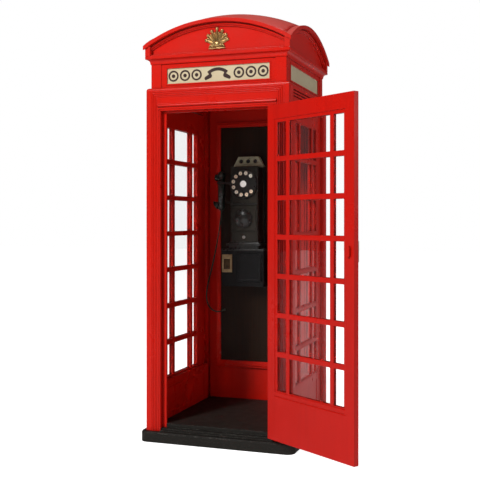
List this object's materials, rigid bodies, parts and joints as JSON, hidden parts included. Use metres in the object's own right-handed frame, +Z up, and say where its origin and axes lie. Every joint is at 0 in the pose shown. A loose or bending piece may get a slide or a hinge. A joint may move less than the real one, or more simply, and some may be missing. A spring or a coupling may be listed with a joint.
{
  "type": "telephone kiosk",
  "caption": "Square street telephone kiosk with arched roof, glazed sides and hinged glazed door, holding a wall payphone with dial, hook, coin box and corded handset.",
  "frame": {"origin": "centre of the plinth's underside", "axes": "+Z up; the doorway faces -Y; +X is to the right of someone facing the doorway"},
  "size_m": [1.3437, 1.3008, 2.4861],
  "materials": {
    "kiosk_red": "gloss enamel",
    "door_red": "gloss enamel",
    "plinth_black": "painted",
    "floor_black": "matt",
    "clear_glass": "clear",
    "sign_opal": "opal",
    "board_brown": "satin",
    "gilt": "satin gilt",
    "lamp_white": "opal",
    "ceiling_cream": "satin",
    "phone_black": "crackle and gloss",
    "gauge_metal": "aged",
    "dial_ivory": "gloss",
    "dial_black": "gloss",
    "card_white": "matt",
    "brass_plate": "worn",
    "steel": "satin",
    "handset_black": "satin",
    "cord_green": "braided"
  },
  "bodies": {
    "kiosk": {"plinth": "plinth_black", "floor_plate": "floor_black", "threshold": "plinth_black", "corner_posts": "kiosk_red", "front_surround": "kiosk_red", "left_surround": "kiosk_red", "right_surround": "kiosk_red", "back_surround": "kiosk_red", "door_stops": "kiosk_red", "left_window": "kiosk_red", "right_window": "kiosk_red", "left_glass": "clear_glass", "right_glass": "clear_glass", "left_beads": "kiosk_red", "right_beads": "kiosk_red", "left_lower_panel": "kiosk_red", "right_lower_panel": "kiosk_red", "back_panel": "kiosk_red", "board_frame": "kiosk_red", "backboard": "board_brown", "shoulder_ring": "kiosk_red", "frieze": "kiosk_red", "sign_panels": "sign_opal", "sign_frames": "kiosk_red", "cornice": "kiosk_red", "pediments": "kiosk_red", "roof_dome": "kiosk_red", "emblem": "gilt", "ceiling": "ceiling_cream", "lamp_base": "ceiling_cream", "lamp_lens": "lamp_white", "frame_hinges": "kiosk_red", "phone_backplate": "phone_black", "phone_housing": "phone_black", "coin_gauge": "gauge_metal", "dial_bezel": "phone_black", "number_plate": "dial_ivory", "phone_panel": "phone_black", "phone_boss": "phone_black", "phone_lock": "steel", "phone_ledges": "phone_black", "vault_box": "phone_black", "return_plate": "brass_plate", "cradle": "phone_black", "cord": "cord_green", "cord_gland": "cord_green"},
    "door": {"door_leaf": "door_red", "door_glass": "clear_glass", "door_beads": "door_red", "door_hinges": "door_red", "pull_inner": "door_red", "pull_outer": "steel"},
    "dial": {"finger_wheel": "dial_black", "dial_card": "card_white"},
    "vault_flap": {"vault_door": "phone_black"},
    "return": {"return_flap": "brass_plate"},
    "hook": {"hook_lever": "steel"},
    "handset": {"handset_handle": "handset_black", "ear_cap": "handset_black", "mouth_cap": "handset_black"}
  },
  "joints": [
    {"name": "door_swing", "type": "hinge", "parent": "kiosk", "child": "door", "pos_m": [0.3365, -0.434, 0.985], "axis": [0, 0, 1], "range_deg": [-145.7, 12]},
    {"name": "dial_turn", "type": "hinge", "parent": "kiosk", "child": "dial", "pos_m": [-0.072, 0.25, 1.496], "axis": [0, 1, 0], "range_deg": [0, 331], "stiffness_Nm_per_rad": 0.02},
    {"name": "vault_door_swing", "type": "hinge", "parent": "kiosk", "child": "vault_flap", "pos_m": [0.054, 0.242, 0.965], "axis": [0, 0, 1], "range_deg": [0, 80]},
    {"name": "return_flap_swing", "type": "hinge", "parent": "kiosk", "child": "return", "pos_m": [-0.177, 0.241, 1.012], "axis": [1, 0, 0], "range_deg": [0, 50]},
    {"name": "hook_rise", "type": "hinge", "parent": "kiosk", "child": "hook", "pos_m": [-0.178, 0.3, 1.504], "axis": [0, 1, 0], "range_deg": [0, 14], "stiffness_Nm_per_rad": 0.15, "springref_deg": 14},
    {"name": "handset_lift", "type": "slide", "parent": "kiosk", "child": "handset", "axis": [0, 0, 1], "range_m": [0, 0.095]}
  ],
  "couplings": [
    {"joint": "hook_rise", "follows": "handset_lift", "rad_per_m": 2.5}
  ]
}
